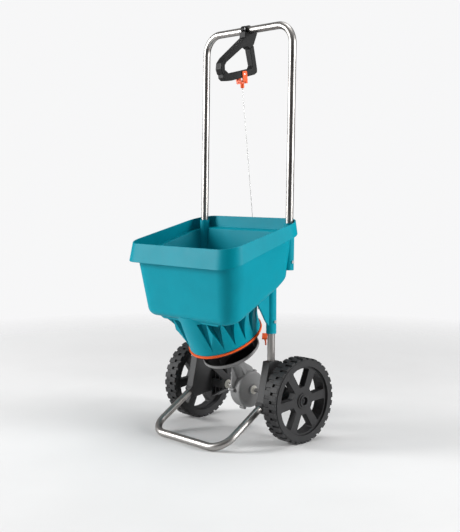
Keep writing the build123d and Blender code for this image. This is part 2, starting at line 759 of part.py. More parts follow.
with BuildPart() as base_plate:
    with BuildSketch(drive.offset(PLATE_D)):
        Circle(PLATE_R)
    extrude(amount=PLATE_T)
    with BuildSketch(drive.offset(PLATE_D)):
        Circle(SPIGOT_R)
        Rectangle(2 * SHUTTER_HALF + 1, 2 * SPIGOT_R + 10, mode=Mode.SUBTRACT)
    extrude(amount=FLOOR_D - PLATE_D - 0.02)
    # two rails that the shutter slides on
    with BuildSketch(drive.offset(PLATE_D)):
        with GridLocations(OUTLET_PITCH, 0, 2, 1):
            Rectangle(5, 120)
    extrude(amount=SHUTTER_D - PLATE_D - 0.05)
    with BuildSketch(drive.offset(PLATE_D)):
        with Locations(*travel_slots):
            RectangleRounded(OUTLET[0] + 2, OUTLET[1] + 2, 3)
        Circle(SHAFT_R + 3)
    extrude(amount=PLATE_T + 1, mode=Mode.SUBTRACT)
    with BuildSketch(drive.offset(PLATE_D)):
        with GridLocations(*PLATE_SCREW_GRID, 2, 2):
            Circle(2.1)
    extrude(amount=40, mode=Mode.SUBTRACT)

with BuildPart() as base_plate_screws:
    with BuildSketch(drive.offset(PLATE_D - 0.02)):
        with GridLocations(*PLATE_SCREW_GRID, 2, 2):
            Circle(4)
    extrude(amount=-2.6)
    with BuildSketch(drive.offset(PLATE_D - 0.02)):
        with GridLocations(*PLATE_SCREW_GRID, 2, 2):
            Circle(2)
    extrude(amount=FLOOR_D + FLOOR_T + 5 - PLATE_D)

# the dosing ring turns between the base plate and the collar; its lever hangs at the right rear
RING_D = PLATE_D + PLATE_T + STACK_GAP
LEVER_R = 107.0
LEVER_TURN = 42.0  # degrees round from the right side towards the rear
LEVER_DROP = 40.0
with BuildPart() as dosing_ring:
    with BuildSketch(drive.offset(RING_D)):
        Circle(RING_R)
        Circle(RING_BORE, mode=Mode.SUBTRACT)
    extrude(amount=RING_T)
    # ear and the lever that hangs from it
    ear = drive.offset(RING_D).rotated((0, 0, LEVER_TURN))
    with BuildSketch(ear):
        with Locations((RING_R + 2, 0)):
            Rectangle(14, 22)
        Circle(RING_BORE + 3, mode=Mode.SUBTRACT)
    extrude(amount=RING_T)
    lever_face = Plane(origin=ear.from_local_coords(Vector(LEVER_R, 0, 0)), x_dir=ear.y_dir, z_dir=ear.x_dir)
    with BuildSketch(lever_face):
        Polygon((-9, RING_T), (9, RING_T), (24, -LEVER_DROP), (16, -LEVER_DROP), (0, -6), (-9, -6), align=None)
    extrude(amount=4)

with BuildPart() as shutter_plate:
    with BuildSketch(drive.offset(SHUTTER_D)):
        with Locations((0, -4)):
            Rectangle(2 * SHUTTER_HALF, 126)
        Circle(SPIGOT_R - 1 - SHUTTER_TRAVEL, mode=Mode.INTERSECT)
        with Locations((0, (TONGUE_END + 50) / 2)):
            Rectangle(2 * TONGUE_HALF, TONGUE_END - 50)
        with Locations((0, crank_v - SHUTTER_TRAVEL / 2)):
            Rectangle(9, FINGER_T + 3.4, mode=Mode.SUBTRACT)
        with Locations((0, SHUTTER_TRAVEL / -2)):
            SlotCenterToCenter(SHUTTER_TRAVEL + 2, 2 * SHAFT_R + 18, rotation=90, mode=Mode.SUBTRACT)
        with Locations(*[(x, v - SHUTTER_TRAVEL - 2) for x, v in travel_slots]):
            RectangleRounded(OUTLET[0] - 2, SHUTTER_TRAVEL - 2, 2, mode=Mode.SUBTRACT)
    extrude(amount=SHUTTER_T)

# ---------------------------------------------------------------- hopper
rim = Plane(
    origin=(0, AXLE_Y - FRONT_REACH + SKIRT_FLARE, RIM_FRONT_Z),
    x_dir=(1, 0, 0),
    z_dir=(0, -sin(radians(RIM_TILT)), cos(radians(RIM_TILT))),
)
step = Plane(
    origin=(0, AXLE_Y - FRONT_REACH, STEP_FRONT_Z),
    x_dir=(1, 0, 0),
    z_dir=(0, -sin(radians(STEP_TILT)), cos(radians(STEP_TILT))),
)
belly = drive.offset(BELLY_D)
SLEEVE_R = TUBE_R + TUBE_FIT + SLEEVE_WALL
SLEEVE_LOW = 459.0
SLEEVE_HIGH = 583.0
STAND_SLEEVE_LOW = 291.0
STAND_SLEEVE_HIGH = 424.0
BACK_SLOPE = [(-80, 384.0), (2, 461.0), (70, 461.0), (70, 330.0), (-80, 330.0)]
COLLAR_D = FLOOR_D - 3.0
THROAT_R = 80.0


def rim_outline(inset, lift=0.0):
    plane = rim.offset(lift)
    half_f, half_r = RIM_HALF_F - inset, RIM_HALF_R - inset
    return round_outline(plane, half_f, half_r, inset, RIM_LEN - inset, 45 - inset, 60 - inset)


def step_outline(inset, lift=0.0):
    plane = step.offset(lift)
    half_f, half_r = RIM_HALF_F + SKIRT_FLARE - inset, RIM_HALF_R + SKIRT_FLARE / 2 - inset
    rear = RIM_LEN + 1.5 * SKIRT_FLARE - inset
    return round_outline(plane, half_f, half_r, inset, rear, 50 - inset, 58 - inset)


def body_top_outline(inset, lift=0.0):
    """Body outline at the step, narrower than the skirt all round."""
    front = FRONT_REACH - BODY_FRONT + inset
    rear = FRONT_REACH - BODY_FRONT + BODY_LEN - inset
    half_f, half_r = BODY_HALF_F - inset, BODY_HALF_R - inset
    return round_outline(step.offset(lift), half_f, half_r, front, rear, 52 - inset, 46 - inset)


def belly_outline(inset, lift=0.0):
    front = BELLY_FRONT + inset
    rear = BELLY_REAR - inset
    return round_outline(
        belly.offset(lift), BELLY_HALF_F - inset, BELLY_HALF_R - inset, front, rear, 46 - inset, 30 - inset
    )


def body_solid(inset, lift, soft):
    """Tapering body with a rounded belly, cut off by the slope of its lower back."""
    with BuildPart() as made:
        loft([belly_outline(inset, inset), body_top_outline(inset, lift)], ruled=True)
        low_face = made.faces().filter_by(lambda f: abs(f.normal_at().dot(drive.z_dir)) > 0.999)
        fillet(low_face.sort_by(Axis.Z)[0].edges(), radius=soft)
        with BuildSketch(side()):
            shift = inset * 1.4
            Polygon(*[(AXLE_Y + y - inset, z + shift) for y, z in BACK_SLOPE], align=None)
        extrude(amount=300, both=True, mode=Mode.SUBTRACT)
    return made.part


def sleeve_axis_y(z):
    return hang_y + HANDLE_LEAN * z


def handle_rod(sign, radius, z0, z1):
    """Round bar on the line of a handle tube from height z0 to z1."""
    foot = Plane(origin=(sign * HANDLE_HALF, sleeve_axis_y(z0), z0), z_dir=tuple(handle_plane.y_dir))
    with BuildPart() as rod:
        with BuildSketch(foot):
            Circle(radius)
        extrude(amount=z1 - z0)
    return rod.part


def stand_rod(sign, radius, z0, z1):
    with BuildPart() as rod:
        with BuildSketch(Plane.XY.offset(z0)):
            with Locations((sign * STAND_HALF, AXLE_Y + STAND_Y)):
                Circle(radius)
        extrude(amount=z1 - z0)
    return rod.part


def pleat(angle):
    """Pocket between two pleats: a point at the ring that widens upward, with a sloping back."""
    a = radians(angle)
    out = drive.x_dir * cos(a) + drive.y_dir * sin(a)
    across = drive.z_dir.cross(out)
    low, high = COLLAR_D + 7, BELLY_D - 3

    def corner(radius, wide, d):
        half = radius * tan(radians(180 / FLUTES)) - 1.1 if wide else 0.0
        return drive.origin + out * radius + across * half * wide + drive.z_dir * d

    def triangle(r_low, r_high):
        points = [corner(r_low, 0, low), corner(r_high, 1, high), corner(r_high, -1, high)]
        return Face(Wire.make_polygon(points, close=True))

    with BuildPart() as pocket:
        loft([triangle(COLLAR_R + 0.5, THROAT_R + 5), triangle(190, 190)], ruled=True)
    return pocket.part


with BuildPart() as collar:
    with BuildSketch(Plane(origin=drive.origin, x_dir=drive.x_dir, z_dir=-drive.y_dir)):
        with BuildLine():
            flare_low = (COLLAR_R, COLLAR_D + 8)
            flare_high = (152, BELLY_D + 7)
            Polyline((0, COLLAR_D), (COLLAR_R, COLLAR_D), flare_low)
            TangentArc(flare_low, flare_high, tangent=(0.05, 1))
            Polyline(flare_high, (0, flare_high[1]), (0, COLLAR_D))
        make_face()
    revolve(axis=Axis(drive.origin, drive.z_dir))
    # the flare ends inside the rounded belly
    inside = 18.0
    with BuildSketch(drive.offset(COLLAR_D - 1)):
        half_f, half_r = BELLY_HALF_F - inside, BELLY_HALF_R - inside
        Polygon(*trapezoid_points(half_f, half_r, BELLY_FRONT + inside, BELLY_REAR - inside), align=None)
    extrude(amount=140, mode=Mode.INTERSECT)
    with BuildSketch(drive.offset(COLLAR_D)):
        Circle(COLLAR_R)
    extrude(amount=BELLY_D + 16 - COLLAR_D)
    add([pleat((i + 0.5) * 360 / FLUTES) for i in range(FLUTES)], mode=Mode.SUBTRACT)

with BuildPart() as hopper:
    loft([step_outline(0), rim_outline(0)], ruled=True)
    add(body_solid(0, 4, BELLY_ROUND))
    add(collar.part)
    # web that ties each lower sleeve to the body
    for s in SIDES:
        with BuildSketch(side(s * STAND_HALF)):
            low = STAND_SLEEVE_LOW
            web = [(-99, 372), (-70, 325), (-58, low + 20), (-46, low + 4), (-46, 425), (-90, 425)]
            Polygon(*behind_axle(web), align=None)
        extrude(amount=s * 5)
    loft([step_outline(WALL, WALL), rim_outline(WALL, 1)], ruled=True, mode=Mode.SUBTRACT)
    add(body_solid(WALL, 9, BELLY_ROUND - WALL), mode=Mode.SUBTRACT)
    with BuildSketch(drive.offset(FLOOR_D + FLOOR_T)):
        Circle(THROAT_R)
    extrude(amount=BELLY_D + 14 - FLOOR_D, mode=Mode.SUBTRACT)
    with BuildSketch(drive.offset(COLLAR_D - 1)):
        Circle(COLLAR_R - WALL)
    extrude(amount=FLOOR_D - COLLAR_D + 1, mode=Mode.SUBTRACT)
    # sleeves for both tubes
    for s in SIDES:
        add(handle_rod(s, SLEEVE_R, SLEEVE_LOW, SLEEVE_HIGH))
        add(stand_rod(s, SLEEVE_R, STAND_SLEEVE_LOW, STAND_SLEEVE_HIGH))
        add(handle_rod(s, TUBE_R + TUBE_FIT, HANDLE_FOOT - 1, RIM_FRONT_Z + 90), mode=Mode.SUBTRACT)
        add(stand_rod(s, TUBE_R + TUBE_FIT, STAND_SLEEVE_LOW - 1, STAND_TOP + 1), mode=Mode.SUBTRACT)
    # floor: outlets, shaft hole and screw holes
    with BuildSketch(drive.offset(FLOOR_D - 1)):
        with Locations(*travel_slots):
            RectangleRounded(*OUTLET, 3)
        Circle(neck_bush_r + 0.05)
        with GridLocations(*PLATE_SCREW_GRID, 2, 2):
            Circle(2.05)
    extrude(amount=FLOOR_T + 8, mode=Mode.SUBTRACT)
    # notch through which the shutter's tongue leaves the collar
    with BuildSketch(drive.offset(COLLAR_D - 1)):
        with Locations((0, COLLAR_R)):
            Rectangle(2 * TONGUE_HALF + 1, 40)
    extrude(amount=FLOOR_D - COLLAR_D + 1, mode=Mode.SUBTRACT)
    # lugs for the crank
    lug_plane = Plane(origin=drive.origin, x_dir=drive.y_dir, z_dir=drive.x_dir)
    for s in SIDES:
        with BuildSketch(lug_plane.offset(s * 6.5)):
            root = COLLAR_R - 5
            lug = [(root, FLOOR_D + 4), (crank_v, crank_d - 7), (crank_v, crank_d + 7), (root, crank_d + 20)]
            Polygon(*lug, align=None)
            with Locations((crank_v, crank_d)):
                Circle(7)
        extrude(amount=s * 4)
    with BuildSketch(lug_plane.offset(-20)):
        with Locations((crank_v, crank_d)):
            Circle(2.5 + 0.02)
    extrude(amount=40, mode=Mode.SUBTRACT)
    # cross holes for the tube screws
    hole = SCREW_R + 0.1
    add(cross_screw_hole(handle_screw_y, HANDLE_SCREW_Z, HANDLE_HALF + 30, hole), mode=Mode.SUBTRACT)
    add(cross_screw_hole(stand_screw_y, STAND_SCREW_Z, STAND_HALF + 30, hole), mode=Mode.SUBTRACT)


def tube_screw(sign, x, y, z):
    """Pan-head screw from the outside of a sleeve right through its tube."""
    with BuildPart() as screw:
        with BuildSketch(side(sign * (x + SLEEVE_R + 0.05))):
            with Locations((y, z)):
                Circle(4)
        extrude(amount=sign * 2.4)
        with BuildSketch(side(sign * (x + SLEEVE_R + 0.05))):
            with Locations((y, z)):
                Circle(SCREW_R)
        extrude(amount=-sign * (2 * SLEEVE_R + 1))
    return screw.part


with BuildPart() as handle_screws:
    for s in SIDES:
        add(tube_screw(s, HANDLE_HALF, handle_screw_y, HANDLE_SCREW_Z))

with BuildPart() as stand_screws:
    for s in SIDES:
        add(tube_screw(s, STAND_HALF, stand_screw_y, STAND_SCREW_Z))

# ---------------------------------------------------------------- crank and wire
PIVOT_R = 2.5
with BuildPart() as crank_pin:
    with BuildSketch(lug_plane.offset(-13)):
        with Locations((crank_v, crank_d)):
            Circle(PIVOT_R)
    extrude(amount=26)
    with BuildSketch(lug_plane.offset(11)):
        with Locations((crank_v, crank_d)):
            Circle(PIVOT_R + 1.8)
    extrude(amount=1.6)

rest_swing = degrees(half_swing)
pin_line = Plane(origin=(0, AXLE_Y + crank_y, crank_z), x_dir=(0, 1, 0), z_dir=(1, 0, 0))
finger_turn = DRIVE_TILT - rest_swing
fork_turn = degrees(wire_lean) - rest_swing
NIPPLE_R = 3.5

with BuildPart() as shutter_crank:
    with BuildSketch(pin_line):
        Circle(6.5)
        with Locations(Location((0, 0), finger_turn)):
            with Locations((0, -(SHUTTER_ARM + 3) / 2)):
                Rectangle(FINGER_T, SHUTTER_ARM + 3)
        with Locations(Location((0, 0), fork_turn)):
            with Locations(((CRANK_ARM + 4) / 2, NIPPLE_R + 2.4)):
                Rectangle(CRANK_ARM + 4, 4)
            with Locations((9, 2)):
                Rectangle(18, 9)
    extrude(amount=4, both=True)
    with Locations(pin_line):
        with Locations(Location((0, 0, 0), (0, 0, fork_turn))):
            with Locations((CRANK_ARM, NIPPLE_R + 2.4, 0)):
                Box(22, 8, 3.2, mode=Mode.SUBTRACT)
    with BuildSketch(pin_line.offset(-10)):
        Circle(PIVOT_R + RUN_FIT)
    extrude(amount=20, mode=Mode.SUBTRACT)

wire_up = Plane(origin=(0, AXLE_Y + GUIDE_Y, GUIDE_Z), x_dir=(1, 0, 0), z_dir=(0, up_y, up_z))
JOINT_BELOW = WIRE_TRAVEL + 5.0
wire_r = WIRE_D / 2

with BuildPart() as wire_nipple:
    nipple_at = side(-4)
    with BuildSketch(nipple_at):
        with Locations((AXLE_Y + nipple_y, nipple_z)):
            Circle(NIPPLE_R)
    extrude(amount=8)
    with BuildSketch(wire_up.offset(-LOWER_WIRE - 10)):
        Circle(wire_r + 0.02)
    extrude(amount=20, mode=Mode.SUBTRACT)

with BuildPart() as lower_wire:
    with BuildSketch(wire_up.offset(-LOWER_WIRE - NIPPLE_R)):
        Circle(wire_r)
    extrude(amount=LOWER_WIRE + NIPPLE_R - JOINT_BELOW)

GUIDE_BORE = 4.6
with BuildPart() as wire_guide:
    with BuildSketch(wire_up):
        Circle(GUIDE_BORE + 1.6)
    extrude(amount=-GUIDE_LEN)
    step_len = RIM_LEN + 1.5 * SKIRT_FLARE
    rear_y = -FRONT_REACH + step_len * cos(radians(STEP_TILT))
    rear_z = STEP_FRONT_Z + step_len * sin(radians(STEP_TILT))
    top_y = -FRONT_REACH + SKIRT_FLARE + RIM_LEN * cos(radians(RIM_TILT))
    top_z = RIM_FRONT_Z + RIM_LEN * sin(radians(RIM_TILT))
    lean = (top_y - rear_y) / (top_z - rear_z)
    foot_low, foot_high = GUIDE_Z - 26, GUIDE_Z - 5
    back = [rear_y + (z - rear_z) * lean + 0.1 for z in (foot_low, foot_high)]
    with BuildSketch(side()):
        foot = [(back[0], foot_low), (back[1], foot_high), (GUIDE_Y, foot_high), (GUIDE_Y + 1, foot_low)]
        Polygon(*behind_axle(foot), align=None)
    extrude(amount=9, both=True)
    with BuildSketch(wire_up.offset(1)):
        Circle(GUIDE_BORE)
    extrude(amount=-GUIDE_LEN - 2, mode=Mode.SUBTRACT)

# ---------------------------------------------------------------- squeeze grip
ARM_OUTLINE = [
    (-16, 1106), (-17, 1084), (-92, 1023), (-104, 1008), (-106, 992), (-100, 977), (-91, 981),
    (-92, 1002), (-86, 1011), (-28, 1054), (-8, 1060), (3, 1054), (17, 1068), (30, 1100), (27, 1106),
]
LOOP_OUTLINE = [
    (-99, 984), (-97, 968), (-88, 962), (-65, 964), (22, 987), (31, 994), (31, 1003), (17, 1067),
    (3, 1054), (14, 1012), (10, 1003), (-76, 982), (-88, 990),
]
LUG_Y = -10.5
LUG_Z = 1107.0
crossbar = Plane(origin=(0, crossbar_y, HANDLE_TOP), x_dir=(0, 1, 0), z_dir=(1, 0, 0))
GRIP_SCREW_R = 2.0

with BuildPart() as grip_strap:
    with BuildSketch(crossbar):
        Circle(STRAP_R)
        with Locations((LUG_Y - HANDLE_AT_TOP, LUG_Z - HANDLE_TOP)):
            Circle(9)
        Circle(TUBE_R + RUN_FIT, mode=Mode.SUBTRACT)
        with Locations((LUG_Y - 3 - HANDLE_AT_TOP, LUG_Z - HANDLE_TOP)):
            Circle(GRIP_SCREW_R + 0.05, mode=Mode.SUBTRACT)
    extrude(amount=STRAP_HALF, both=True)

with BuildPart() as grip_arm:
    with BuildSketch(side()) as arm_face:
        Polygon(*behind_axle(ARM_OUTLINE), align=None)
        soft = [v for v in arm_face.vertices() if v.Z < 1100]
        fillet(soft, radius=2.5)
    extrude(amount=ARM_HALF, both=True)
    fillet(grip_arm.edges().filter_by(lambda e: abs(abs(e.center().X) - ARM_HALF) < 0.01), radius=2.0)
    with BuildSketch(crossbar):
        Circle(TUBE_R + RUN_FIT)
    extrude(amount=40, both=True, mode=Mode.SUBTRACT)
    with BuildSketch(crossbar):
        Circle(STRAP_R + 0.1)
    extrude(amount=STRAP_HALF + 0.1, both=True, mode=Mode.SUBTRACT)
    with BuildSketch(crossbar):
        with Locations((LUG_Y - HANDLE_AT_TOP, LUG_Z - HANDLE_TOP)):
            Circle(9.1)
    extrude(amount=ARM_HALF + 1, both=True, mode=Mode.SUBTRACT)
    with BuildSketch(side()):
        with Locations((AXLE_Y + LUG_Y - 3, LUG_Z)):
            Circle(GRIP_SCREW_R + 0.05)
    extrude(amount=30, both=True, mode=Mode.SUBTRACT)

with BuildPart() as grip_screws:
    with BuildSketch(side(-STRAP_HALF - 0.05)):
        with Locations((AXLE_Y + LUG_Y - 3, LUG_Z)):
            Circle(3.6)
    extrude(amount=-1.8)
    with BuildSketch(side(STRAP_HALF + 0.05)):
        with Locations((AXLE_Y + LUG_Y - 3, LUG_Z)):
            Circle(3.6)
    extrude(amount=1.8)
    with BuildSketch(side(-STRAP_HALF - 0.05)):
        with Locations((AXLE_Y + LUG_Y - 3, LUG_Z)):
            Circle(GRIP_SCREW_R)
    extrude(amount=2 * STRAP_HALF + 0.1)

with BuildPart() as grip_loop:
    with BuildSketch(side()) as loop_face:
        Polygon(*behind_axle(LOOP_OUTLINE), align=None)
        fillet(loop_face.vertices(), radius=2.2)
    extrude(amount=LOOP_HALF, both=True)
    fillet(grip_loop.edges().filter_by(lambda e: abs(abs(e.center().X) - LOOP_HALF) < 0.01), radius=1.6)
    add(grip_arm.part, mode=Mode.SUBTRACT)
    with BuildSketch(side()):
        with Locations((AXLE_Y + HANGER_Y, HANGER_Z)):
            Circle(PIVOT_R + 0.02)
    extrude(amount=30, both=True, mode=Mode.SUBTRACT)

hang = Plane(origin=(0, AXLE_Y + HANGER_Y, HANGER_Z), x_dir=(1, 0, 0), z_dir=(0, up_y, up_z))
CHEEK_T = 3.0
BRIDGE = 16.0
with BuildPart() as hanger_pin:
    with BuildSketch(side(-LOOP_HALF - CHEEK_T)):
        with Locations((AXLE_Y + HANGER_Y, HANGER_Z)):
            Circle(PIVOT_R)
    extrude(amount=2 * (LOOP_HALF + CHEEK_T))

cheek_in = LOOP_HALF + 0.4
STEM_R = 2.6
with BuildPart() as wire_hanger:
    for s in SIDES:
        with BuildSketch(Plane(origin=hang.origin, x_dir=hang.y_dir, z_dir=hang.x_dir).offset(s * cheek_in)):
            with Locations((0, 8 - (BRIDGE + 12) / 2)):
                RectangleRounded(17, BRIDGE + 12, 3)
        extrude(amount=s * CHEEK_T)
    with BuildSketch(hang.offset(-BRIDGE)):
        RectangleRounded(2 * (cheek_in + CHEEK_T), 17, 2)
    extrude(amount=-4)
    with BuildSketch(hang.offset(-BRIDGE)):
        Circle(STEM_R)
    extrude(amount=-18)
    with BuildSketch(side(-30)):
        with Locations((AXLE_Y + HANGER_Y, HANGER_Z)):
            Circle(PIVOT_R + RUN_FIT)
    extrude(amount=60, mode=Mode.SUBTRACT)
    with BuildSketch(hang.offset(-60)):
        Circle(wire_r + 0.02)
    extrude(amount=60 - BRIDGE - 10, mode=Mode.SUBTRACT)

with BuildPart() as adjuster_nut:
    with BuildSketch(hang.offset(-BRIDGE - 4.3)):
        Circle(5.2)
    extrude(amount=-17)
    fillet(adjuster_nut.edges().group_by(Axis.Z)[0], radius=2)
    with BuildSketch(hang.offset(-BRIDGE - 4.3)):
        RectangleRounded(38, 9, 3)
    extrude(amount=-5)
    with BuildSketch(hang.offset(-BRIDGE - 4.3)):
        Circle(STEM_R + RUN_FIT)
    extrude(amount=-14, mode=Mode.SUBTRACT)
    with BuildSketch(hang.offset(-BRIDGE - 4.3)):
        Circle(wire_r + RUN_FIT)
    extrude(amount=-30, mode=Mode.SUBTRACT)

with BuildPart() as upper_wire:
    with BuildSketch(hang.offset(-BRIDGE - 11)):
        Circle(wire_r)
    extrude(amount=-(wire_rest - BRIDGE - 11 + JOINT_BELOW - WIRE_GAP))

# ---------------------------------------------------------------- write every piece
handle_tube.part.label = "handle_tube"
export_step(handle_tube.part, "parts/handle_tube.step")
stand_tube.part.label = "stand_tube"
export_step(stand_tube.part, "parts/stand_tube.step")
leg_bracket_left.label = "leg_bracket_left"
export_step(leg_bracket_left, "parts/leg_bracket_left.step")
leg_bracket_right.label = "leg_bracket_right"
export_step(leg_bracket_right, "parts/leg_bracket_right.step")
bracket_screws.part.label = "bracket_screws"
export_step(bracket_screws.part, "parts/bracket_screws.step")
bracket_nuts.part.label = "bracket_nuts"
export_step(bracket_nuts.part, "parts/bracket_nuts.step")
axle.part.label = "axle"
export_step(axle.part, "parts/axle.step")
axle_bushes.part.label = "axle_bushes"
export_step(axle_bushes.part, "parts/axle_bushes.step")
drive_pin.part.label = "drive_pin"
export_step(drive_pin.part, "parts/drive_pin.step")
wheel_left.label = "wheel_left"
export_step(wheel_left, "parts/wheel_left.step")
wheel_right.label = "wheel_right"
export_step(wheel_right, "parts/wheel_right.step")
wheel_washers.part.label = "wheel_washers"
export_step(wheel_washers.part, "parts/wheel_washers.step")
hub_screws.part.label = "hub_screws"
export_step(hub_screws.part, "parts/hub_screws.step")
crown_gear.label = "crown_gear"
export_step(crown_gear, "parts/crown_gear.step")
pinion.label = "pinion"
export_step(pinion, "parts/pinion.step")
gearbox_housing.part.label = "gearbox_housing"
export_step(gearbox_housing.part, "parts/gearbox_housing.step")
gearbox_cover.part.label = "gearbox_cover"
export_step(gearbox_cover.part, "parts/gearbox_cover.step")
gearbox_bushes.part.label = "gearbox_bushes"
export_step(gearbox_bushes.part, "parts/gearbox_bushes.step")
gearbox_screws.part.label = "gearbox_screws"
export_step(gearbox_screws.part, "parts/gearbox_screws.step")
impeller_shaft.part.label = "impeller_shaft"
export_step(impeller_shaft.part, "parts/impeller_shaft.step")
shaft_bushes.part.label = "shaft_bushes"
export_step(shaft_bushes.part, "parts/shaft_bushes.step")
impeller_disc.part.label = "impeller_disc"
export_step(impeller_disc.part, "parts/impeller_disc.step")
impeller_vanes.part.label = "impeller_vanes"
export_step(impeller_vanes.part, "parts/impeller_vanes.step")
agitator.part.label = "agitator"
export_step(agitator.part, "parts/agitator.step")
base_plate.part.label = "base_plate"
export_step(base_plate.part, "parts/base_plate.step")
base_plate_screws.part.label = "base_plate_screws"
export_step(base_plate_screws.part, "parts/base_plate_screws.step")
dosing_ring.part.label = "dosing_ring"
export_step(dosing_ring.part, "parts/dosing_ring.step")
shutter_plate.part.label = "shutter_plate"
export_step(shutter_plate.part, "parts/shutter_plate.step")
hopper.part.label = "hopper"
export_step(hopper.part, "parts/hopper.step")
handle_screws.part.label = "handle_screws"
export_step(handle_screws.part, "parts/handle_screws.step")
stand_screws.part.label = "stand_screws"
export_step(stand_screws.part, "parts/stand_screws.step")
crank_pin.part.label = "crank_pin"
export_step(crank_pin.part, "parts/crank_pin.step")
shutter_crank.part.label = "shutter_crank"
export_step(shutter_crank.part, "parts/shutter_crank.step")
wire_nipple.part.label = "wire_nipple"
export_step(wire_nipple.part, "parts/wire_nipple.step")
lower_wire.part.label = "lower_wire"
export_step(lower_wire.part, "parts/lower_wire.step")
wire_guide.part.label = "wire_guide"
export_step(wire_guide.part, "parts/wire_guide.step")
grip_strap.part.label = "grip_strap"
export_step(grip_strap.part, "parts/grip_strap.step")
grip_arm.part.label = "grip_arm"
export_step(grip_arm.part, "parts/grip_arm.step")
grip_screws.part.label = "grip_screws"
export_step(grip_screws.part, "parts/grip_screws.step")
grip_loop.part.label = "grip_loop"
export_step(grip_loop.part, "parts/grip_loop.step")
hanger_pin.part.label = "hanger_pin"
export_step(hanger_pin.part, "parts/hanger_pin.step")
wire_hanger.part.label = "wire_hanger"
export_step(wire_hanger.part, "parts/wire_hanger.step")
adjuster_nut.part.label = "adjuster_nut"
export_step(adjuster_nut.part, "parts/adjuster_nut.step")
upper_wire.part.label = "upper_wire"
export_step(upper_wire.part, "parts/upper_wire.step")
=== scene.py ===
"""Push garden spreader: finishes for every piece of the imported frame, and its studio."""

import math

import bpy
from bpy.props import FloatProperty, FloatVectorProperty, PointerProperty
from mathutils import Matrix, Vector


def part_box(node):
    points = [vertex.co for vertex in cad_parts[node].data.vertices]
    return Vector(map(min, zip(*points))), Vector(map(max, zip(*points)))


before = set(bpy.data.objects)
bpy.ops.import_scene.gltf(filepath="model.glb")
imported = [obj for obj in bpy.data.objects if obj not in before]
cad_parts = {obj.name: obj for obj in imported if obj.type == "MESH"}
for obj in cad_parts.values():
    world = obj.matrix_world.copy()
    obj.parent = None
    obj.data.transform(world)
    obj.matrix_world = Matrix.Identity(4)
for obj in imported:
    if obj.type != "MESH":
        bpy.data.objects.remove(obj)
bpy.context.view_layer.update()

bl_info = {
    "name": "Garden Spreader",
    "version": (1, 0, 0),
    "blender": (4, 5, 0),
    "location": "3D View > Sidebar > Spreader",
    "description": "Finishes the parts of a push garden spreader and sets its studio",
    "category": "Object",
}

# ------------------------------------------------------------------ where things are
AXLE_LOW, AXLE_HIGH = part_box("axle")
AXLE_CENTRE = (AXLE_LOW + AXLE_HIGH) / 2

# ------------------------------------------------------------------ studio
MIDDLE = (0, 0, 0.5)  # what the softboxes point at
# name, place, width and height, watts
SOFTBOXES = (
    ("key_softbox", (-2.1, -2.2, 1.3), (1.1, 1.6), 104),
    ("side_softbox", (2.7, 1.3, 1.3), (1.0, 1.8), 88),
    ("top_softbox", (0.2, 0.4, 3.2), (1.6, 1.6), 34),
)
AIR_SEEN = (0.93, 0.93, 0.935, 1)  # what shows behind the spreader
AIR_STRENGTH = 0.28
# grey of the walls all round, from the left side (-X) through the front, right and back
WALLS = (
    (0.0, 0.30), (0.10, 0.60), (0.18, 1.30), (0.24, 0.90), (0.29, 0.03), (0.45, 0.03),
    (0.50, 0.90), (0.56, 1.25), (0.63, 0.30), (0.75, 0.20), (0.87, 0.60), (1.0, 0.30),
)
CEILING_START, CEILING_FULL = 0.15, 0.75  # rise of a ray where the white ceiling starts and ends
FLOOR_DARK, FLOOR_LIGHT = (0.77, 0.77, 0.77), (0.80, 0.80, 0.80)
FLOOR_FADE = (0.3, 0.95)  # where the floor fades out, as shares of its radius
FLOOR_SIDES = 96
CAMERA_X, CAMERA_FROM_AXLE_Y, CAMERA_Z = 1.85408, -1.81976, 0.68673
CAMERA_PITCH, CAMERA_HEADING = 85.8, 46.69  # degrees
LENS, SENSOR = 63.31, 36.0  # millimetres
SHIFT = (0.00455, -0.0252)
CLIP = (0.05, 200.0)


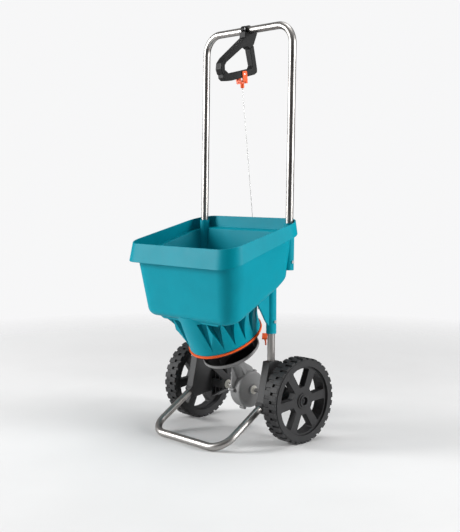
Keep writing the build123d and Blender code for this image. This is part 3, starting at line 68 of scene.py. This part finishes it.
# ------------------------------------------------------------------ material building blocks
class Nodes:
    """A small helper that adds and links shader nodes from left to right."""

    def __init__(self, name):
        self.material = bpy.data.materials.new(name)
        self.material.use_nodes = True
        self.tree = self.material.node_tree
        self.tree.nodes.clear()
        self.out = self.add("ShaderNodeOutputMaterial")
        self.shader = self.add("ShaderNodeBsdfPrincipled")
        self.tree.links.new(self.shader.outputs["BSDF"], self.out.inputs["Surface"])
        self.place = self.add("ShaderNodeTexCoord").outputs["Object"]

    def add(self, kind, **settings):
        node = self.tree.nodes.new(kind)
        for key, value in settings.items():
            setattr(node, key, value)
        node.location = (220 * len(self.tree.nodes), 0)
        return node

    def put(self, source, target):
        self.tree.links.new(source, target)

    def stretched(self, scale, turn=(0, 0, 0)):
        """Object coordinates scaled by a different amount along each axis."""
        mapping = self.add("ShaderNodeMapping")
        mapping.inputs["Scale"].default_value = scale
        mapping.inputs["Rotation"].default_value = turn
        self.put(self.place, mapping.inputs["Vector"])
        return mapping.outputs["Vector"]

    def noise(self, scale, detail=3.0, rough=0.5, place=None):
        node = self.add("ShaderNodeTexNoise")
        node.inputs["Scale"].default_value = scale
        node.inputs["Detail"].default_value = detail
        node.inputs["Roughness"].default_value = rough
        self.put(place or self.place, node.inputs["Vector"])
        return node.outputs["Fac"]

    def span(self, value, low, high, from_low=0.0, from_high=1.0):
        """A value from one range brought into another, held at both ends."""
        node = self.add("ShaderNodeMapRange")
        node.inputs["From Min"].default_value = from_low
        node.inputs["From Max"].default_value = from_high
        node.inputs["To Min"].default_value = low
        node.inputs["To Max"].default_value = high
        self.put(value, node.inputs["Value"])
        return node.outputs["Result"]

    def blend(self, factor, first, second):
        """Two colours mixed by a pattern; each is a colour or a socket."""
        node = self.add("ShaderNodeMix", data_type="RGBA")
        self.put(factor, node.inputs["Factor"])
        for socket, value in ((node.inputs[6], first), (node.inputs[7], second)):
            if isinstance(value, bpy.types.NodeSocket):
                self.put(value, socket)
            else:
                socket.default_value = (*value, 1)
        return node.outputs[2]

    def bump(self, height, depth, strength, under=None):
        node = self.add("ShaderNodeBump")
        node.inputs["Distance"].default_value = depth
        node.inputs["Strength"].default_value = strength
        self.put(height, node.inputs["Height"])
        if under:
            self.put(under, node.inputs["Normal"])
        return node.outputs["Normal"]

    def soft_edge(self, radius):
        """Normals that round off every edge by this radius."""
        node = self.add("ShaderNodeBevel", samples=6)
        node.inputs["Radius"].default_value = radius
        return node.outputs["Normal"]

    def edge_wear(self, radius):
        """Bright along the edges, where hands and ground rub the surface."""
        inner = self.soft_edge(radius)
        geometry = self.add("ShaderNodeNewGeometry")
        dot = self.add("ShaderNodeVectorMath", operation="DOT_PRODUCT")
        self.put(inner, dot.inputs[0])
        self.put(geometry.outputs["Normal"], dot.inputs[1])
        return self.span(dot.outputs["Value"], 1.0, 0.0, 0.72, 0.97)


def tint(colour, factor):
    """A colour made lighter or darker."""
    return tuple(min(1.0, c * factor) for c in colour)


def moulded_plastic(name, colour, shine, grain, edge, wear=0.25, gloss=0.35):
    """Injection moulded plastic: fine grain, faint flow marks and edges rubbed lighter."""
    n = Nodes(name)
    flow = n.noise(9.0, 4.0, 0.6)
    speck = n.noise(420.0, 2.0, 0.5)
    cloud = n.span(flow, 0.0, 1.0, 0.32, 0.70)
    base = n.blend(cloud, tint(colour, 0.94), tint(colour, 1.06))
    base = n.blend(n.span(speck, 0.0, 0.16, 0.45, 0.75), base, tint(colour, 1.25))
    rubbed = n.edge_wear(edge * 1.6)
    patchy = n.add("ShaderNodeMath", operation="MULTIPLY")
    n.put(rubbed, patchy.inputs[0])
    n.put(n.span(n.noise(60.0, 3.0), 0.0, wear, 0.40, 0.62), patchy.inputs[1])
    paler = tuple(c * 1.15 + 0.035 for c in colour)
    base = n.blend(patchy.outputs["Value"], base, paler)
    n.put(base, n.shader.inputs["Base Color"])
    polish = n.span(n.noise(35.0, 5.0, 0.6), shine - 0.05, shine + 0.08)
    n.put(polish, n.shader.inputs["Roughness"])
    rounded = n.soft_edge(edge)
    waves = n.bump(n.noise(26.0, 2.0), 0.0006, 0.35, rounded)
    n.put(n.bump(n.noise(grain, 2.0, 0.6), 0.00012, 0.6, waves), n.shader.inputs["Normal"])
    n.shader.inputs["IOR"].default_value = 1.48
    n.shader.inputs["Specular IOR Level"].default_value = gloss
    return n.material


def drawn_steel(name, colour, shine, lines, turn=(0, 0, 0), edge=0.0003):
    """Metal drawn or rolled along one direction: long fine lines and cloudy roughness."""
    n = Nodes(name)
    along = n.stretched(lines, turn)
    streak = n.noise(1.0, 4.0, 0.65, along)
    cloud = n.noise(14.0, 4.0, 0.6)
    base = n.blend(n.span(streak, 0.0, 1.0, 0.3, 0.7), tint(colour, 0.86), tint(colour, 1.10))
    base = n.blend(n.span(cloud, 0.0, 0.35, 0.45, 0.75), base, tint(colour, 0.80))
    n.put(base, n.shader.inputs["Base Color"])
    n.shader.inputs["Metallic"].default_value = 1.0
    n.put(n.span(cloud, shine - 0.04, shine + 0.08, 0.3, 0.7), n.shader.inputs["Roughness"])
    rounded = n.soft_edge(edge) if edge else None
    n.put(n.bump(streak, 0.00002, 0.12, rounded), n.shader.inputs["Normal"])
    return n.material


def dress(material, *nodes):
    """Gives CAD pieces one finish."""
    for name in nodes:
        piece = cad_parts[name]
        piece.data.materials.clear()
        piece.data.materials.append(material)


# ------------------------------------------------------------------ sizes and colours
class SpreaderColours(bpy.types.PropertyGroup):
    hopper: FloatVectorProperty(
        name="Hopper", description="Colour of the hopper", subtype="COLOR", size=3,
        default=(0.0, 0.275, 0.355), min=0, max=1,
    )
    orange: FloatVectorProperty(
        name="Settings", description="Colour of the parts that are set by hand", subtype="COLOR",
        size=3, default=(0.90, 0.105, 0.006), min=0, max=1,
    )
    housing: FloatVectorProperty(
        name="Gearbox", description="Colour of the gearbox and spinner disc",
        subtype="COLOR", size=3,
        default=(0.24, 0.24, 0.24), min=0, max=1,
    )
    bracket: FloatVectorProperty(
        name="Brackets", description="Colour of the two leg brackets", subtype="COLOR", size=3,
        default=(0.036, 0.036, 0.037), min=0, max=1,
    )
    wheel: FloatVectorProperty(
        name="Wheels", description="Colour of the wheels", subtype="COLOR", size=3,
        default=(0.022, 0.022, 0.023), min=0, max=1,
    )
    black: FloatVectorProperty(
        name="Grip", description="Colour of the grip and spinner vanes", subtype="COLOR", size=3,
        default=(0.010, 0.010, 0.0105), min=0, max=1,
    )
    tube: FloatVectorProperty(
        name="Tubes", description="Colour of the bare steel tubes", subtype="COLOR", size=3,
        default=(0.40, 0.385, 0.37), min=0, max=1,
    )


class SpreaderSizes(bpy.types.PropertyGroup):
    edge: FloatProperty(
        name="Moulded edge", description="Radius of a moulded edge", default=0.0009,
        min=0.0001, max=0.005, unit="LENGTH", precision=4,
    )
    shine: FloatProperty(
        name="Plastic roughness", description="Roughness of the hopper's plastic",
        default=0.42, min=0.1, max=0.9, subtype="FACTOR",
    )
    floor: FloatProperty(
        name="Floor", description="Radius of the studio floor", default=2.6,
        min=1.5, max=20.0, unit="LENGTH",
    )


# ------------------------------------------------------------------ operators
class SPREADER_OT_tubes(bpy.types.Operator):
    """Bare drawn steel on the push bar and the stand"""

    bl_idname = "spreader.tubes"
    bl_label = "Tubes"

    def execute(self, context):
        colours = context.scene.spreader_colours
        upright = drawn_steel("bare_steel_tube", colours.tube, 0.33, (500, 500, 8), edge=0.0)
        dress(upright, "handle_tube", "stand_tube")
        return {"FINISHED"}


class SPREADER_OT_axle(bpy.types.Operator):
    """Bright steel on the axle, shaft, screws and wire"""

    bl_idname = "spreader.axle"
    bl_label = "Axle and screws"

    def execute(self, context):
        bright = drawn_steel("bright_axle_steel", (0.72, 0.71, 0.70), 0.20, (14, 900, 900))
        dress(bright, "axle", "impeller_shaft")
        zinc = drawn_steel("zinc_plated_steel", (0.60, 0.61, 0.62), 0.30, (300, 300, 300))
        dress(
            zinc, "bracket_screws", "bracket_nuts", "gearbox_screws", "base_plate_screws",
            "handle_screws", "stand_screws", "crank_pin", "grip_screws", "hanger_pin",
            "drive_pin", "wire_nipple",
        )
        oxide = drawn_steel("blackened_steel", (0.055, 0.055, 0.057), 0.38, (400, 400, 400))
        dress(oxide, "wheel_washers", "hub_screws")
        wire = drawn_steel(
            "stranded_wire", (0.52, 0.52, 0.51), 0.34, (1500, 1500, 2600), (0.6, 0, 0), edge=0.0
        )
        dress(wire, "upper_wire", "lower_wire")
        return {"FINISHED"}


class SPREADER_OT_hopper(bpy.types.Operator):
    """Semi-gloss moulded plastic on the hopper and the wire guide"""

    bl_idname = "spreader.hopper"
    bl_label = "Hopper"

    def execute(self, context):
        colours = context.scene.spreader_colours
        sizes = context.scene.spreader_sizes
        teal = moulded_plastic(
            "hopper_plastic", colours.hopper, sizes.shine, 1500.0, sizes.edge, 0.08, 0.10
        )
        dress(teal, "hopper", "wire_guide")
        return {"FINISHED"}


class SPREADER_OT_settings(bpy.types.Operator):
    """Bright moulded plastic on the dosing ring, wire hanger and adjuster"""

    bl_idname = "spreader.settings"
    bl_label = "Dosing ring and wire hanger"

    def execute(self, context):
        colours = context.scene.spreader_colours
        sizes = context.scene.spreader_sizes
        orange = moulded_plastic("setting_plastic", colours.orange, 0.40, 1500.0, sizes.edge, 0.15)
        dress(orange, "dosing_ring", "wire_hanger", "adjuster_nut")
        return {"FINISHED"}


class SPREADER_OT_gearbox(bpy.types.Operator):
    """Grained grey plastic on the gearbox, brackets and spinner disc, natural nylon inside"""

    bl_idname = "spreader.gearbox"
    bl_label = "Gearbox and brackets"

    def execute(self, context):
        colours = context.scene.spreader_colours
        sizes = context.scene.spreader_sizes
        grey = moulded_plastic("gearbox_plastic", colours.housing, 0.52, 1100.0, sizes.edge, 0.35)
        dress(grey, "gearbox_housing", "gearbox_cover", "impeller_disc")
        sooty = moulded_plastic("bracket_plastic", colours.bracket, 0.50, 1100.0, sizes.edge, 0.35)
        dress(sooty, "leg_bracket_left", "leg_bracket_right")
        nylon = moulded_plastic("natural_nylon", (0.72, 0.70, 0.64), 0.45, 1800.0, 0.0004, 0.1)
        dress(nylon, "axle_bushes", "gearbox_bushes", "shaft_bushes", "crown_gear", "pinion")
        return {"FINISHED"}


class SPREADER_OT_wheels(bpy.types.Operator):
    """Dusty dark plastic on both wheels"""

    bl_idname = "spreader.wheels"
    bl_label = "Wheels"

    def execute(self, context):
        colours = context.scene.spreader_colours
        sizes = context.scene.spreader_sizes
        dark = moulded_plastic("wheel_plastic", colours.wheel, 0.56, 900.0, sizes.edge, 0.45)
        dress(dark, "wheel_left", "wheel_right")
        return {"FINISHED"}


class SPREADER_OT_grip(bpy.types.Operator):
    """Black grained plastic on the grip, spinner vanes, base plate and crank"""

    bl_idname = "spreader.grip"
    bl_label = "Grip and spinner"

    def execute(self, context):
        colours = context.scene.spreader_colours
        sizes = context.scene.spreader_sizes
        black = moulded_plastic(
            "black_plastic", colours.black, 0.44, 1300.0, sizes.edge, 0.25, 0.18
        )
        dress(
            black, "grip_arm", "grip_strap", "grip_loop", "impeller_vanes", "agitator",
            "base_plate", "shutter_plate", "shutter_crank",
        )
        return {"FINISHED"}


def softbox(name, place, size, power):
    """A large soft lamp that points at the middle of the spreader."""
    bpy.ops.object.light_add(type="AREA", location=place)
    lamp = bpy.context.object
    lamp.name = name
    lamp.data.name = name
    lamp.data.shape = "RECTANGLE"
    lamp.data.size, lamp.data.size_y = size
    lamp.data.energy = power
    aim = Vector(MIDDLE) - Vector(place)
    lamp.rotation_euler = aim.to_track_quat("-Z", "Y").to_euler()


def floor_paint(radius):
    """Pale matt paint that fades out towards the floor's edge."""
    paint = Nodes("pale_floor")
    mottle = paint.noise(3.0, 4.0)
    paint.put(
        paint.blend(paint.span(mottle, 0.0, 1.0, 0.3, 0.7), FLOOR_DARK, FLOOR_LIGHT),
        paint.shader.inputs["Base Color"],
    )
    paint.put(paint.span(mottle, 0.55, 0.65), paint.shader.inputs["Roughness"])
    reach = paint.add("ShaderNodeVectorMath", operation="LENGTH")
    paint.put(paint.place, reach.inputs[0])
    fade_from, fade_to = (radius * share for share in FLOOR_FADE)
    fade = paint.span(reach.outputs["Value"], 0.0, 1.0, fade_from, fade_to)
    clear = paint.add("ShaderNodeBsdfTransparent")
    edge = paint.add("ShaderNodeMixShader")
    paint.put(fade, edge.inputs["Fac"])
    paint.put(paint.shader.outputs["BSDF"], edge.inputs[1])
    paint.put(clear.outputs["BSDF"], edge.inputs[2])
    paint.put(edge.outputs["Shader"], paint.out.inputs["Surface"])
    return paint.material


def studio_air():
    """Pale air to look at, and walls and a ceiling that light the spreader."""
    world = bpy.data.worlds.new("studio_air")
    world.use_nodes = True
    tree = world.node_tree
    tree.nodes.clear()
    add, put = tree.nodes.new, tree.links.new
    out = add("ShaderNodeOutputWorld")
    seen = add("ShaderNodeBackground")
    seen.inputs["Color"].default_value = AIR_SEEN
    lit = add("ShaderNodeBackground")
    lit.inputs["Strength"].default_value = AIR_STRENGTH
    split = add("ShaderNodeSeparateXYZ")
    put(add("ShaderNodeTexCoord").outputs["Generated"], split.inputs["Vector"])
    heading = add("ShaderNodeMath")
    heading.operation = "ARCTAN2"
    put(split.outputs["Y"], heading.inputs[0])
    put(split.outputs["X"], heading.inputs[1])
    once_round = add("ShaderNodeMapRange")
    once_round.inputs["From Min"].default_value = -math.pi
    once_round.inputs["From Max"].default_value = math.pi
    put(heading.outputs["Value"], once_round.inputs["Value"])
    walls = add("ShaderNodeValToRGB")
    ramp = walls.color_ramp.elements
    while len(ramp) < len(WALLS):
        ramp.new(0.5)
    for element, (place, grey) in zip(ramp, WALLS):
        element.position = place
        element.color = (grey, grey, grey, 1)
    put(once_round.outputs["Result"], walls.inputs["Fac"])
    rise = add("ShaderNodeMapRange")
    rise.inputs["From Min"].default_value = CEILING_START
    rise.inputs["From Max"].default_value = CEILING_FULL
    put(split.outputs["Z"], rise.inputs["Value"])
    ceiling = add("ShaderNodeMix")
    ceiling.data_type = "RGBA"
    ceiling.inputs[7].default_value = (1, 1, 1, 1)
    put(rise.outputs["Result"], ceiling.inputs["Factor"])
    put(walls.outputs["Color"], ceiling.inputs[6])
    put(ceiling.outputs[2], lit.inputs["Color"])
    choose = add("ShaderNodeMixShader")
    put(add("ShaderNodeLightPath").outputs["Is Camera Ray"], choose.inputs["Fac"])
    put(lit.outputs["Background"], choose.inputs[1])
    put(seen.outputs["Background"], choose.inputs[2])
    put(choose.outputs["Shader"], out.inputs["Surface"])
    return world


class SPREADER_OT_studio(bpy.types.Operator):
    """Pale floor, soft lamps and the camera"""

    bl_idname = "spreader.studio"
    bl_label = "Studio"

    def execute(self, context):
        scene = context.scene
        radius = scene.spreader_sizes.floor
        bpy.ops.object.select_all(action="DESELECT")
        bpy.ops.mesh.primitive_circle_add(vertices=FLOOR_SIDES, radius=radius, fill_type="NGON")
        floor = context.object
        floor.name = "studio_floor"
        floor.data.materials.append(floor_paint(radius))
        scene.world = studio_air()
        for lamp in SOFTBOXES:
            softbox(*lamp)

        bpy.ops.object.camera_add(
            location=(CAMERA_X, AXLE_CENTRE.y + CAMERA_FROM_AXLE_Y, CAMERA_Z),
            rotation=(math.radians(CAMERA_PITCH), 0, math.radians(CAMERA_HEADING)),
        )
        camera = context.object
        camera.name = "studio_camera"
        camera.data.lens = LENS
        camera.data.sensor_width = SENSOR
        camera.data.shift_x, camera.data.shift_y = SHIFT
        camera.data.clip_start, camera.data.clip_end = CLIP
        scene.camera = camera
        scene.view_settings.view_transform = "Standard"
        scene.view_settings.look = "None"
        return {"FINISHED"}


STEPS = (
    SPREADER_OT_tubes, SPREADER_OT_axle, SPREADER_OT_hopper, SPREADER_OT_settings,
    SPREADER_OT_gearbox, SPREADER_OT_wheels, SPREADER_OT_grip, SPREADER_OT_studio,
)


class SPREADER_PT_panel(bpy.types.Panel):
    """Sizes, colours and the steps that finish the spreader"""

    bl_idname = "SPREADER_PT_panel"
    bl_label = "Garden Spreader"
    bl_space_type = "VIEW_3D"
    bl_region_type = "UI"
    bl_category = "Spreader"

    def draw(self, context):
        column = self.layout.column(align=True)
        for group in (context.scene.spreader_sizes, context.scene.spreader_colours):
            for name in group.__annotations__:
                column.prop(group, name)
        for step in STEPS:
            column.operator(step.bl_idname)


CLASSES = (SpreaderColours, SpreaderSizes, *STEPS, SPREADER_PT_panel)


def register():
    for entry in CLASSES:
        bpy.utils.register_class(entry)
    bpy.types.Scene.spreader_colours = PointerProperty(type=SpreaderColours)
    bpy.types.Scene.spreader_sizes = PointerProperty(type=SpreaderSizes)


def unregister():
    del bpy.types.Scene.spreader_sizes
    del bpy.types.Scene.spreader_colours
    for entry in reversed(CLASSES):
        bpy.utils.unregister_class(entry)


def main():
    register()
    bpy.ops.spreader.tubes()
    bpy.ops.spreader.axle()
    bpy.ops.spreader.hopper()
    bpy.ops.spreader.settings()
    bpy.ops.spreader.gearbox()
    bpy.ops.spreader.wheels()
    bpy.ops.spreader.grip()
    bpy.ops.spreader.studio()


if __name__ == "__main__":
    main()
